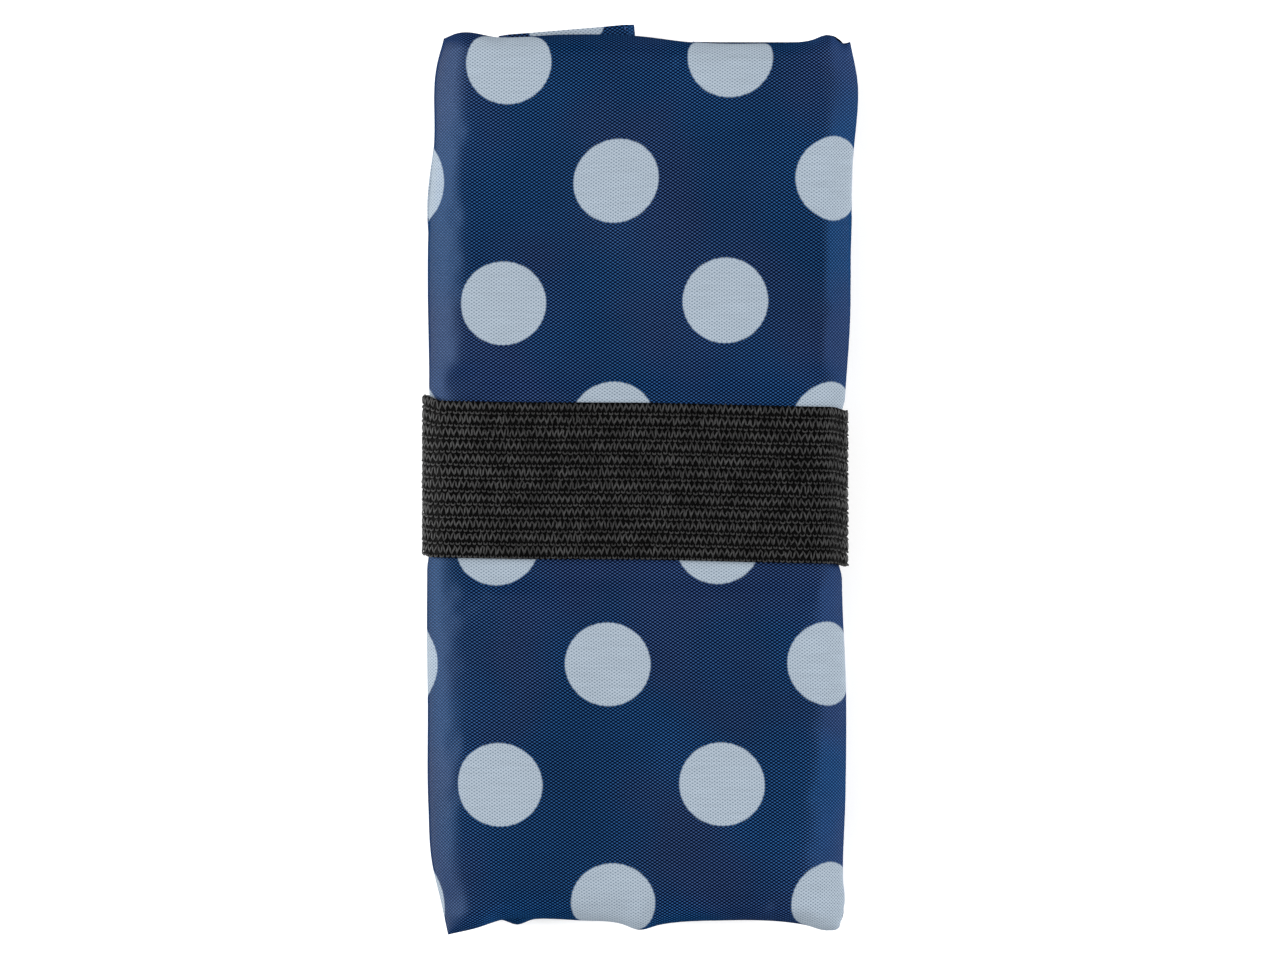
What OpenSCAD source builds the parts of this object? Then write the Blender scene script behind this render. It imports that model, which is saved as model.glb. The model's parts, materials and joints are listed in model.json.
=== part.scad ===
// Foldable tote bag, folded flat into a packet and held by a loose elastic band.
// The bag's own width is pleated into one column, and the column is folded in three along its
// length, back, middle and front, like a letter Z. The two carrying handles lie between the back
// and the middle section, each folded in two.
// X is the packet's width, Y its length with the bag's mouth end at +Y, Z its thickness.
// The origin is under the middle of the packet, on the surface that it lies on.

/* [Packet] */
// Width of the folded bag
packet_w = 67.4; // [60:0.2:76]
// Distance between the two fold lines
fold_span = 137; // [125:1:150]
// How far the end folds bulge past the fold lines
fold_bulge = 3.7; // [3:0.1:4]
// Rounding of the packet's long edges
edge_r = 5.5; // [4:0.5:6]

/* [Sections] */
// Thickness of the back section
back_t = 3.8; // [3.6:0.1:4.4]
// Thickness of the middle section
middle_t = 3.6; // [3.6:0.1:4.4]
// Thickness of the front section
front_t = 4.1; // [4:0.1:5]
// Room between back and middle for the folded handles
handle_room = 2.8; // [2.8:0.1:3.6]
// Gap between the middle and the front section
section_gap = 0.3; // [0.3:0.1:1]
// Thickness of the outer cloth, with the air that it holds
cloth_t = 0.45; // [0.3:0.05:0.5]

/* [Mouth and bottom] */
// Depth of the hem round the bag's mouth
hem_d = 14.5; // [12:0.5:20]
// How far the mouth edge reaches past the fold line
mouth_past = 2; // [1:0.5:2]
// How far the bag's bottom edge reaches past the other fold line
bottom_past = 2.9; // [2:0.1:3.5]

/* [Handles] */
// Width of a handle strap
strap_w = 22; // [16:1:24]
// Thickness of one strap
strap_t = 0.35; // [0.3:0.01:0.35]
// Where the left handle hangs, from the packet's middle
left_x = -6; // [-8:0.5:-5]
// Where the right handle hangs, from the packet's middle
right_x = 18; // [17:0.5:20]
// Lean of the left handle's upper half, in degrees
left_lean = 4.8; // [0:0.2:5]

/* [Elastic band] */
// Width of the band
band_w = 25; // [20:1:30]
// Thickness of the band
band_t = 1; // [0.8:0.1:1.2]
// Height of the packet where the band draws it in
waist_h = 12.6; // [12:0.1:13]

/* [Hidden] */

$fn = 48;
navy = [0.09, 0.2, 0.4];
deep_navy = [0.05, 0.12, 0.26];
ice_blue = [0.68, 0.74, 0.8];
thread_blue = [0.16, 0.27, 0.48];
elastic_black = [0.1, 0.1, 0.1];

fold_y = fold_span / 2;
end_clear = 0.15;                      // section ends stop this short of their fold line
slit = 0.05;                           // air between a section's cover and its pleats
back_z = 0;
middle_z = back_t + handle_room;
front_z = middle_z + middle_t + section_gap;
packet_h = front_z + front_t;
mouth_y = fold_y + mouth_past;
hem_y = mouth_y - hem_d;
bottom_y = -fold_y - bottom_past;

// Where the band draws the packet in
band_clear = 0.15;
waist_z = band_t + band_clear;
waist_r = 5;
waist_d = band_w + 2;
band_low = waist_z - band_clear;
band_high = waist_z + waist_h + band_clear;

// Leaves of cloth pleated inside each section
leaf_count = 3;
leaf_gap = 0.2;
pleat_turn = 4.2;                      // width of the turn that joins two leaves
seam_w = 5.2;
seam_inset = 12;                       // from the packet's edge to the seams' outer edge

// Handle layers, from the tack on the hem up to the loop
tack_t = 0.4;
tack_len = 12.6;
leg_gap = 0.1;
strap_pair_t = 2 * strap_t + leg_gap;
lower_z = back_t + tack_t + 0.25;
upper_z = lower_z + strap_pair_t + 0.2;
root_y = mouth_y - 0.1;
lower_len = 69.4;
tip_y = root_y - lower_len;
loop_y = fold_y + fold_bulge;

thread_d = 0.1;
stitch_len = 2;
stitch_pitch = 3;

// A rectangle with round corners, standing on z, in the plane across the packet
module rounded(w, z, h, r) {
    translate([-w / 2 + r, z]) square([w - 2 * r, h]);
    translate([-w / 2, z + r]) square([w, h - 2 * r]);
    for (x = [-1, 1], up = [r, h - r]) translate([x * (w / 2 - r), z + up]) circle(r);
}

// Turns a drawing across the packet, x and z, into a bar along Y
module along_y(y0, y1) {
    translate([0, y1, 0]) rotate([90, 0, 0]) linear_extrude(y1 - y0) children();
}

// Turns a side drawing, y and z, into a bar across X
module across_x(w) {
    translate([-w / 2, 0, 0]) rotate([90, 0, 90]) linear_extrude(w) children();
}

// The packet's whole outline across, drawn in by an inset
module packet_outline(inset) {
    rounded(packet_w - 2 * inset, inset, packet_h - 2 * inset, edge_r - inset);
}

// The outline under the band, drawn in by an inset
module waist_outline(inset) {
    rounded(packet_w - 2 * inset, waist_z + inset, waist_h - 2 * inset, waist_r - inset);
}

// The slice of an outline that belongs to one section
module slice(z, t, inset) {
    intersection() {
        children();
        translate([-packet_w, z + inset]) square([2 * packet_w, t - 2 * inset]);
    }
}

// Everything outside the waist, where the band lies
module waist_cut(inset) {
    along_y(-waist_d / 2 - inset, waist_d / 2 + inset) difference() {
        translate([-packet_w, -packet_h]) square([2 * packet_w, 3 * packet_h]);
        waist_outline(inset);
    }
}

// The outer cloth of one section: a flat sleeve, drawn in under the band
module section_cover(z, t, y0, y1) {
    difference() {
        along_y(y0, y1) slice(z, t, 0) packet_outline(0);
        waist_cut(0);
        difference() {
            along_y(y0 - 1, y1 + 1) slice(z, t, cloth_t) packet_outline(cloth_t);
            waist_cut(cloth_t);
        }
    }
}

// Lowest and highest level that a section's pleats may take
function pleat_low(z) = max(z, waist_z) + cloth_t + slit;
function pleat_high(z, t) = min(z + t, waist_z + waist_h) - cloth_t - slit;
function leaf_t(z, t) = (pleat_high(z, t) - pleat_low(z) - (leaf_count - 1) * leaf_gap) / leaf_count;
function leaf_z(z, t, k) = pleat_low(z) + k * (leaf_t(z, t) + leaf_gap);

// Cloth leaves folded to and fro inside one section; the top leaf stops short for the seams
module section_pleats(z, t, y0, y1) {
    seam_x = packet_w / 2 - seam_inset - seam_w - 0.3;
    along_y(y0, y1) intersection() {
        waist_outline(cloth_t + slit);
        for (k = [0 : leaf_count - 1]) {
            last = k == leaf_count - 1;
            translate([-packet_w / 2, leaf_z(z, t, k)])
                square([last ? packet_w / 2 + seam_x : packet_w, leaf_t(z, t)]);
            if (!last) translate([k % 2 == 0 ? packet_w / 2 - pleat_turn : -packet_w / 2, leaf_z(z, t, k)])
                square([pleat_turn, 2 * leaf_t(z, t) + leaf_gap]);
        }
    }
}

// The bag's two side seams, lying together beside the top leaf
module section_seams(z, t, y0, y1) {
    seam_t = leaf_t(z, t) / 2 - 0.02;
    for (k = [0, 1])
        translate([packet_w / 2 - seam_inset - seam_w, y0, leaf_z(z, t, leaf_count - 1) + k * (seam_t + 0.04)])
            cube([seam_w, y1 - y0, seam_t]);
}

// The cloth that turns round an end of the packet and joins two sections
module end_fold(z, h, side) {
    r = fold_bulge - 0.1;
    intersection() {
        mirror([0, side > 0 ? 0 : 1, 0]) across_x(packet_w) intersection() {
            difference() {
                translate([fold_y, 0]) rounded(2 * fold_bulge, z, h, r);
                translate([fold_y, 0]) rounded(2 * (fold_bulge - cloth_t), z + cloth_t, h - 2 * cloth_t, r - cloth_t);
            }
            translate([fold_y, z]) square([fold_bulge, h]);
        }
        along_y(-packet_w * 2, packet_w * 2) packet_outline(0);
    }
}

// A row of stitches along X, lying on the level z
module stitch_row(x0, x1, y, z) {
    count = floor((x1 - x0) / stitch_pitch);
    start = (x0 + x1) / 2 - (count * stitch_pitch - (stitch_pitch - stitch_len)) / 2;
    for (k = [0 : count - 1])
        translate([start + k * stitch_pitch, y - 0.2, z]) cube([stitch_len, 0.4, thread_d]);
}

// Sewn end of a handle's two straps, on the mouth hem
module handle_tack(x) {
    translate([x - strap_w / 2, root_y - tack_len, back_t]) cube([strap_w, tack_len, tack_t]);
}

// Box of stitches with a cross in it
module tack_stitches(x) {
    w = strap_w - 4;
    l = tack_len - 3.6;
    y = root_y - tack_len / 2;
    z = back_t + tack_t;
    for (s = [-1, 1]) {
        translate([x - w / 2, y + s * l / 2 - 0.2, z]) cube([w, 0.4, thread_d]);
        translate([x + s * w / 2 - 0.2, y - l / 2 + 0.2, z]) cube([0.4, l - 0.4, thread_d]);
    }
    intersection() {
        for (s = [-1, 1])
            translate([x, y, z + thread_d / 2]) rotate([0, 0, s * atan2(l, w)])
                cube([2 * w, 0.4, thread_d], center = true);
        translate([x - w / 2 + 0.3, y - l / 2 + 0.3, z]) cube([w - 0.6, l - 0.6, thread_d]);
    }
}

// The two straps of a handle that run back from the mouth over the back section
module lower_straps(x) {
    for (k = [0, 1])
        translate([x - strap_w / 2, tip_y, lower_z + k * (strap_t + leg_gap)])
            cube([strap_w, lower_len, strap_t]);
}

// Short turn of the straps from the lower to the upper half, at the end that points to the bottom
module strap_fold(x) {
    h = upper_z + strap_pair_t - lower_z;
    translate([x, tip_y - 0.4, 0]) across_x(strap_w) difference() {
        translate([0, lower_z + h / 2]) circle(h / 2);
        translate([0, lower_z + h / 2]) circle(h / 2 - strap_t);
        translate([0, lower_z - 1]) square([h, h + 2]);
    }
}

// Upper half of a handle: the straps return to the mouth end, where they are one turned strap
module upper_loop(x, lean) {
    root = 0.1 + strap_w * sin(lean) / 2;
    straight = loop_y - tip_y - strap_pair_t / 2 - strap_w * sin(lean) / 2;
    translate([x, tip_y, 0]) rotate([0, 0, lean]) across_x(strap_w) {
        for (k = [0, 1])
            translate([root, upper_z + k * (strap_t + leg_gap)]) square([straight - root, strap_t]);
        translate([straight, upper_z + strap_pair_t / 2]) intersection() {
            difference() {
                circle(strap_pair_t / 2);
                circle(leg_gap / 2);
            }
            translate([0, -strap_pair_t]) square(2 * strap_pair_t);
        }
    }
}

module back_outer_cloth() { color(navy) section_cover(back_z, back_t, -fold_y + end_clear, hem_y - slit); }
module back_inner_pleats() { color(deep_navy) section_pleats(back_z, back_t, -fold_y + end_clear, mouth_y - 1); }
module back_side_seams() { color(thread_blue) section_seams(back_z, back_t, -fold_y + end_clear, mouth_y - 1); }
module mouth_hem() { color(navy) section_cover(back_z, back_t, hem_y, mouth_y); }
module mouth_hem_stitching() {
    color(thread_blue) stitch_row(-packet_w / 2 + edge_r, packet_w / 2 - edge_r, hem_y + 0.9, back_t);
}
module left_handle_tack() { color(navy) handle_tack(left_x); }
module left_handle_tack_stitching() { color(ice_blue) tack_stitches(left_x); }
module right_handle_tack() { color(navy) handle_tack(right_x); }
module right_handle_tack_stitching() { color(ice_blue) tack_stitches(right_x); }
module back_to_middle_fold() { color(navy) end_fold(back_z, middle_z + middle_t, -1); }
module middle_outer_cloth() { color(navy) section_cover(middle_z, middle_t, -fold_y + end_clear, fold_y - end_clear); }
module middle_inner_pleats() {
    color(deep_navy) section_pleats(middle_z, middle_t, -fold_y + end_clear, fold_y - end_clear);
}
module middle_side_seams() {
    color(thread_blue) section_seams(middle_z, middle_t, -fold_y + end_clear, fold_y - end_clear);
}
module middle_to_front_fold() { color(navy) end_fold(middle_z, packet_h - middle_z, 1); }
module front_outer_cloth() { color(navy) section_cover(front_z, front_t, bottom_y, fold_y - end_clear); }
module front_inner_pleats() { color(deep_navy) section_pleats(front_z, front_t, bottom_y + 3, fold_y - end_clear); }
module front_side_seams() { color(thread_blue) section_seams(front_z, front_t, bottom_y + 3, fold_y - end_clear); }
module bottom_seam() {
    color(thread_blue) along_y(bottom_y + 0.5, bottom_y + 2.8)
        intersection() {
            slice(front_z, front_t, cloth_t + slit) packet_outline(cloth_t + slit);
            translate([-packet_w / 2, leaf_z(front_z, front_t, 0)]) square([packet_w, 1.8]);
        }
}
module left_handle_lower_straps() { color(navy) lower_straps(left_x); }
module left_handle_fold() { color(navy) strap_fold(left_x); }
module left_handle_upper_loop() { color(ice_blue) upper_loop(left_x, left_lean); }
module right_handle_lower_straps() { color(navy) lower_straps(right_x); }
module right_handle_fold() { color(navy) strap_fold(right_x); }
module right_handle_upper_loop() { color(ice_blue) upper_loop(right_x, 0); }

// Knitted elastic strip bent into a loop, with its two ends butted under the packet
module elastic_band() {
    color(elastic_black) along_y(-band_w / 2, band_w / 2) difference() {
        rounded(packet_w + 2 * (band_clear + band_t), band_low - band_t,
                band_high - band_low + 2 * band_t, waist_r + band_clear + band_t);
        rounded(packet_w + 2 * band_clear, band_low, band_high - band_low, waist_r + band_clear);
        translate([-0.1, -band_t]) square([0.2, 3 * band_t]);
    }
}

// Rows of thread that hold the band's two ends together, on its inner side
module elastic_join_stitching() {
    rows = 5;
    color([0.2, 0.2, 0.2]) for (k = [0 : rows - 1])
        translate([-4, (k - (rows - 1) / 2) * band_w / (rows + 1) - 0.25, band_low]) cube([8, 0.5, thread_d]);
}

back_outer_cloth();
back_inner_pleats();
back_side_seams();
mouth_hem();
mouth_hem_stitching();
left_handle_tack();
left_handle_tack_stitching();
right_handle_tack();
right_handle_tack_stitching();
back_to_middle_fold();
middle_outer_cloth();
middle_inner_pleats();
middle_side_seams();
middle_to_front_fold();
front_outer_cloth();
front_inner_pleats();
front_side_seams();
bottom_seam();
left_handle_lower_straps();
left_handle_fold();
left_handle_upper_loop();
right_handle_lower_straps();
right_handle_fold();
right_handle_upper_loop();
elastic_band();
elastic_join_stitching();
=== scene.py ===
import json
import math

import bpy
import numpy as np
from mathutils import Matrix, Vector


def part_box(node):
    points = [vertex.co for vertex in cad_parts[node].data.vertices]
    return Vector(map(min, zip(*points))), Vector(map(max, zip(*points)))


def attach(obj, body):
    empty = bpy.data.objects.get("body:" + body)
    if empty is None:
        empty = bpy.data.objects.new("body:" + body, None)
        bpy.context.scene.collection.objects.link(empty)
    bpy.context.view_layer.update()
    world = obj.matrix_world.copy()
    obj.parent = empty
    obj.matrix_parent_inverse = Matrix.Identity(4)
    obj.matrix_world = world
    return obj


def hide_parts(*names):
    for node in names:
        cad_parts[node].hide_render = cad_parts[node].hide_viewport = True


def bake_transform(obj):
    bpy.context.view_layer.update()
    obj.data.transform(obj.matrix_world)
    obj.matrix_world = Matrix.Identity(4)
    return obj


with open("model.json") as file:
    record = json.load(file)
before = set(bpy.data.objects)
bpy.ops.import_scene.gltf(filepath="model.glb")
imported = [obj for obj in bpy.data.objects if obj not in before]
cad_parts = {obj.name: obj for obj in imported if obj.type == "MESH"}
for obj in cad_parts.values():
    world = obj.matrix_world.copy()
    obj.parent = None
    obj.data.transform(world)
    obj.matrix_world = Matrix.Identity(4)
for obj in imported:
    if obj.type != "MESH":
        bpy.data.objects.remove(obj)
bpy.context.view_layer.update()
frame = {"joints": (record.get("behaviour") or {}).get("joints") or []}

# Foldable tote bag, folded into its packet. Lengths are in millimetres in the row frame until a
# mesh is made: X across the packet, Y along it towards the mouth end, Z up out of the dotted face.
MM = 0.001


def node_box(*names):
    """Lowest and highest corner of some CAD nodes together, in millimetres."""
    lows, highs = zip(*(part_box(name) for name in names))
    return np.min([list(p) for p in lows], 0) / MM, np.max([list(p) for p in highs], 0) / MM


# ------ levels that the frame gives
_, BACK_HIGH = node_box("back_outer_cloth")
MIDDLE_LOW, MIDDLE_HIGH = node_box("middle_outer_cloth")
_, FRONT_HIGH = node_box("front_outer_cloth")
HEM_LOW, HEM_HIGH = node_box("mouth_hem")
BAND_LOW, BAND_HIGH = node_box("elastic_band")
HINGE = {j["name"]: np.array(j["pos_m"]) / MM for j in frame["joints"] if j["type"] == "hinge"}
FOLD_LOW = HINGE["unfold_sections"]  # back to middle, at the -Y end
FOLD_HIGH = HINGE["unfold_front"]  # middle to front, at the mouth end

# ------ the packet's outline from above
# Each is a few (place, value) points that a smooth curve runs through.
LEFT_EDGE = [(-72, -30.9), (-67, -32.0), (-61, -33.5), (-52, -34.1), (-35, -34.2), (-20, -34.4),
             (16, -34.1), (45, -33.9), (54, -33.2), (68, -32.6), (72, -31.5)]
RIGHT_EDGE = [(-72, 31.8), (-69, 32.6), (-64, 32.4), (-50, 32.8), (-35, 32.9), (-20, 32.5),
              (12, 32.9), (24, 33.5), (41, 33.7), (50, 33.9), (65, 34.7), (72, 33.5)]
TOP_EDGE = [(-32, 71.0), (-29.4, 72.0), (-22.7, 71.3), (-12.8, 71.75), (-0.7, 71.55), (8, 70.55),
            (18, 70.3), (27, 70.8), (30.5, 71.6), (32.2, 70.4), (33.6, 70.6)]
BOTTOM_EDGE = [(-31, -72.6), (-26.3, -71.5), (-22.3, -70.2), (-16.4, -70.0), (-9.6, -70.3),
               (-3.3, -70.8), (-0.3, -71.8), (3.0, -71.0), (12.5, -70.3), (26.2, -71.0), (30, -71.9),
               (31.6, -71.6), (32.6, -70.4)]


def curve(points):
    """A smooth function through a few (place, value) points."""
    at, value = np.array(sorted(points), float).T
    slope = np.gradient(value, at)

    def run(q):
        q = np.clip(q, at[0], at[-1])
        i = np.clip(np.searchsorted(at, q) - 1, 0, len(at) - 2)
        h = at[i + 1] - at[i]
        s = (q - at[i]) / h
        return (value[i] * (2 * s**3 - 3 * s**2 + 1) + h * slope[i] * (s**3 - 2 * s**2 + s)
                + value[i + 1] * (3 * s**2 - 2 * s**3) + h * slope[i + 1] * (s**3 - s**2))
    return run


def step(low, high, q):
    """0 up to low, 1 from high on, smooth between; high may be below low."""
    s = np.clip((q - low) / (high - low), 0, 1)
    return s * s * (3 - 2 * s)


RIPPLES = 14  # sine waves in one sum of them


def waves(x, y, seed, shortest, longest):
    """Seeded ripples of about unit height, with wavelengths in the given range."""
    rng = np.random.default_rng(seed)
    total = np.zeros(np.broadcast(x, y).shape)
    for _ in range(RIPPLES):
        turn = rng.uniform(0, math.pi)
        length = rng.uniform(shortest, longest)
        phase = rng.uniform(0, 2 * math.pi)
        total = total + np.sin(2 * math.pi * (x * math.cos(turn) + y * math.sin(turn)) / length + phase)
    return total * math.sqrt(2 / RIPPLES) / 1.4


left_edge, right_edge = curve(LEFT_EDGE), curve(RIGHT_EDGE)
top_edge, bottom_edge = curve(TOP_EDGE), curve(BOTTOM_EDGE)


def waist(y):
    """1 where the band presses the packet flat, 0 away from it."""
    return step(21, 13.5, np.abs(y))


def pinch(y):
    """1 where the band draws the packet's long sides in, 0 away from it."""
    return 0.25 * step(30, 14, np.abs(y)) + 0.75 * step(14.6, 11.0, np.abs(y))


# ------ meshes
def put(name, data, place=(0, 0, 0)):
    """Adds an object to the scene."""
    obj = bpy.data.objects.new(name, data)
    obj.location = place
    bpy.context.scene.collection.objects.link(obj)
    return obj


def make_mesh(name, points, faces, uvs=None):
    """A mesh object from points in millimetres; uvs holds one (u, v) in metres for each corner."""
    mesh = bpy.data.meshes.new(name)
    mesh.from_pydata((np.reshape(points, (-1, 3)) * MM).tolist(), [], faces)
    if uvs is not None:
        layer = mesh.uv_layers.new(name="UVMap")
        layer.data.foreach_set("uv", (np.asarray(uvs, float) * MM).astype(np.float32).ravel())
    mesh.polygons.foreach_set("use_smooth", [True] * len(mesh.polygons))
    mesh.update()
    return put(name, mesh)


def cells(grid):
    """The four corners of each cell of a grid, of point numbers or of uvs."""
    return np.stack([grid[:-1, :-1], grid[:-1, 1:], grid[1:, 1:], grid[1:, :-1]], 2)


def ring_cells(grid, closed=False):
    """The same for a grid whose rows are rings; closed joins its last ring to its first."""
    here, after = (grid, np.roll(grid, -1, 0)) if closed else (grid[:-1], grid[1:])
    return np.stack([here, after, np.roll(after, -1, 1), np.roll(here, -1, 1)], 2)


CREASE_IN = 1.5  # how deep the creases between leaves are
LEAF_IN = 0.35  # how far a lower leaf's fold stands behind the top one's
LEAF_SWAY = 0.4  # how far a leaf's fold wanders along the packet
END_SHAPE = 14  # how far from an end its outline shapes the cloth's rows
END_STEPS = 14  # rows round an end that turns down
CELL = 0.75  # mm between the other lines of points


def folds_below(leaves, turn):
    """The side of a stack under its top leaf, as stations of (inset, share of the way down, sway)
    and the leaf that each step to the next station belongs to; -1 is the top leaf's own curl."""
    first = 0.05
    height = (1 - first) / leaves
    rows = [(0, 0, 0), (0.4 * CREASE_IN, 0.6 * first, 0)]
    owner = [-1, -1]
    for leaf in range(leaves):
        last = leaf == leaves - 1
        for angle in np.radians(np.linspace(-90, 0 if last else 90, 5 if last else 8, endpoint=False)):
            inset = CREASE_IN - (CREASE_IN - LEAF_IN) * math.cos(angle)
            rows.append((inset, first + height * (leaf + (math.sin(angle) + 1) / 2), math.cos(angle)))
            owner.append(leaf)
    half_way = 1 - height / 2
    for angle in np.linspace(0, math.pi / 2, 8, endpoint=False):
        rows.append((LEAF_IN + (turn - LEAF_IN) * (1 - math.cos(angle)),
                     half_way + (1 - half_way) * math.sin(angle), math.cos(angle)))
        owner.append(leaves - 1)
    return np.array(rows, float), np.array(owner)


def ends_and_middle(span, low_turn, high_turn):
    """Rows along a pad, dense where its ends turn down: (share of the span, added, height share)."""
    angle = np.linspace(0, math.pi / 2, END_STEPS, endpoint=False)
    start = np.stack([0 * angle, low_turn * (1 - np.cos(angle)), np.sin(angle)], 1)
    end = np.stack([0 * angle + 1, -high_turn * (1 - np.cos(angle)), np.sin(angle)], 1)[::-1]
    share = np.linspace(0, 1, max(2, int((span - low_turn - high_turn) / CELL)))
    middle = np.stack([share, low_turn * (1 - share) - high_turn * share, 0 * share + 1], 1)
    return np.concatenate([start, middle, end])


def running_length(points, axis):
    """Length along one axis of a grid of points, counted from its first line."""
    gap = np.linalg.norm(np.diff(points, axis=axis), axis=2)
    zero = np.zeros_like(np.take(gap, [0], axis))
    return np.cumsum(np.concatenate([zero, gap], axis), axis)


def path_length(path):
    """The same for one path of points."""
    return running_length(path[:, None], 0)[:, 0]


def zeroed(length, place, axis):
    """Makes a running length nought where place crosses nought."""
    index = np.expand_dims(np.abs(place).argmin(axis=axis), axis)
    return length - np.take_along_axis(length, index, axis) + np.take_along_axis(place, index, axis)


def along_cloth(points, start):
    """v of a grid of points. start is None to count from y = 0, or (end row, function of x that
    gives v there). Then all columns share the mean section and the mean end, so that neither a
    handle under the cloth nor an uneven fold shears its print."""
    if start is None:
        return zeroed(running_length(points, 0), points[:, :, 1], 0)
    level = points.copy()
    level[:, :, 2] = points[:, :, 2].mean(1, keepdims=True)
    length = zeroed(running_length(level, 0), points[:, :, 1], 0)
    row, value = start
    onward = length - length[row].mean()
    return value(points[row, :, 0])[None] + onward * np.sign(onward.mean())


def pad_grids(sides, ends, turns, levels, leaves, seed):
    """The upper and lower sheet of a pad, which share their outermost line of points."""
    left, right = sides
    low, high = ends
    turn_left, turn_right, turn_low, turn_high, turn_below = turns
    low_y, high_y = float(low(0.0)), float(high(0.0))
    fold, owner = folds_below(leaves, turn_below)
    angle = np.linspace(0, math.pi / 2, len(fold), endpoint=False)
    share = np.linspace(0, 1, int(60 / CELL))[None]
    rows = ends_and_middle(high_y - low_y, turn_low, turn_high)
    row_y = (low_y + (high_y - low_y) * rows[:, 0] + rows[:, 1])[:, None]
    x_left, x_right = left(row_y), right(row_y)
    curve_in = (1 - np.cos(angle))[None]

    def lines(at_left, at_right, in_left, in_right):
        begin, end = x_left + in_left, x_right - in_right
        return np.concatenate([at_left, begin + (end - begin) * share, at_right[:, ::-1]], 1)

    x = lines(x_left + turn_left * curve_in, x_right - turn_right * curve_in, turn_left, turn_right)
    high_share = np.concatenate([np.sin(angle), np.ones(share.size), np.sin(angle)[::-1]])
    near_low, near_high = step(low_y + END_SHAPE, low_y, row_y), step(high_y - END_SHAPE, high_y, row_y)
    y = row_y + (low(x) - low_y) * near_low + (high(x) - high_y) * near_high
    upper, widest = levels[0](x, y), levels[1](x, y)
    row_rise = rows[:, 2][:, None]
    top = np.stack([x, y, widest + (upper - widest) * row_rise * high_share], 2)

    number = np.maximum(owner, 0)
    sway = [np.stack([waves(row_y[:, 0], 9.0 * n, seed + side, 13, 45) for n in range(leaves)], 1)
            [:, number] * fold[None, :, 2] * LEAF_SWAY for side in (0, 1)]
    x_under = lines(x_left + fold[None, :, 0] + sway[0], x_right - fold[None, :, 0] - sway[1],
                    turn_below, turn_below)
    down = np.concatenate([fold[:, 1], np.ones(share.size), fold[::-1, 1]])
    x_under = x + (x_under - x) * row_rise
    lower = levels[2](x_under, y)
    under = np.stack([x_under, y, widest + (lower - widest) * row_rise ** 0.7 * down], 2)
    return top, under, owner


SIM_SCALE = 20.0  # the simulation runs at twenty times the real size
SIM_CELL = 2.3  # mm between its points
SIM_FRAMES = 26
SPARE_CLOTH = 0.035  # share by which the cloth is longer than its room
PUCKER = 0.5  # mm, the most that the simulated cloth may rise or sink
BAND_HOLDS = 15.5  # mm from the middle, as far as the band holds the face down
CLOTH = {"mass": 0.15, "quality": 6, "tension_stiffness": 12.0, "compression_stiffness": 12.0,
         "shear_stiffness": 4.0, "bending_stiffness": 0.15, "shrink_min": -SPARE_CLOTH,
         "use_pressure": True, "uniform_pressure_force": 1.2}


def spaced(length):
    """Line numbers of a grid that lie about SIM_CELL apart, with the first and the last."""
    marks = np.arange(0, length[-1], SIM_CELL)
    return np.unique(np.append(np.searchsorted(length, marks), len(length) - 1))


def spread(rows, cols, shape, values):
    """A coarse grid of values, spread smoothly over every point of the fine one."""
    wide = np.array([curve(list(zip(cols, line)))(np.arange(shape[1])) for line in values])
    return np.array([curve(list(zip(rows, line)))(np.arange(shape[0])) for line in wide.T]).T


def pucker(points):
    """How far a cloth simulation moves a face up and down: the cloth is held at its edges and
    under the band, has a little more length than room, and is pressed up by the leaves below."""
    rows = spaced(running_length(points, 0)[:, points.shape[1] // 2])
    cols = spaced(running_length(points, 1)[points.shape[0] // 2])
    coarse = points[np.ix_(rows, cols)]
    count = coarse.shape[:2]
    index = np.arange(count[0] * count[1]).reshape(count)
    cloth = make_mesh("face_simulation", coarse * SIM_SCALE,
                      cells(index).reshape(-1, 4).tolist())
    held = np.abs(coarse[:, :, 1]) < BAND_HOLDS
    held[[0, -1]] = True
    held[:, [0, -1]] = True
    group = cloth.vertex_groups.new(name="held")
    group.add(index[held].tolist(), 1.0, "REPLACE")
    settings = cloth.modifiers.new("cloth", "CLOTH").settings
    settings.vertex_group_mass = "held"
    for key, value in CLOTH.items():
        setattr(settings, key, value)
    settings.effector_weights.gravity = 0.0
    scene = bpy.context.scene
    for number in range(1, SIM_FRAMES + 1):
        scene.frame_set(number)
    done = cloth.evaluated_get(bpy.context.evaluated_depsgraph_get()).data
    moved = np.array([v.co[2] for v in done.vertices]) / (MM * SIM_SCALE)
    rise = moved.reshape(count) - coarse[:, :, 2]
    bpy.data.meshes.remove(cloth.data)
    scene.frame_set(1)
    calm = step(34, 24, np.abs(points[:, :, 0]))
    return calm * spread(rows, cols, points.shape[:2], PUCKER * np.tanh(rise / PUCKER))


LEAF_APART = (11.0, 13.0)  # mm of cloth, in u and v, from one leaf's fold to the next
SIDE_APART = (5.0, 4.0)  # and between the folds at the left and at the right


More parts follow.
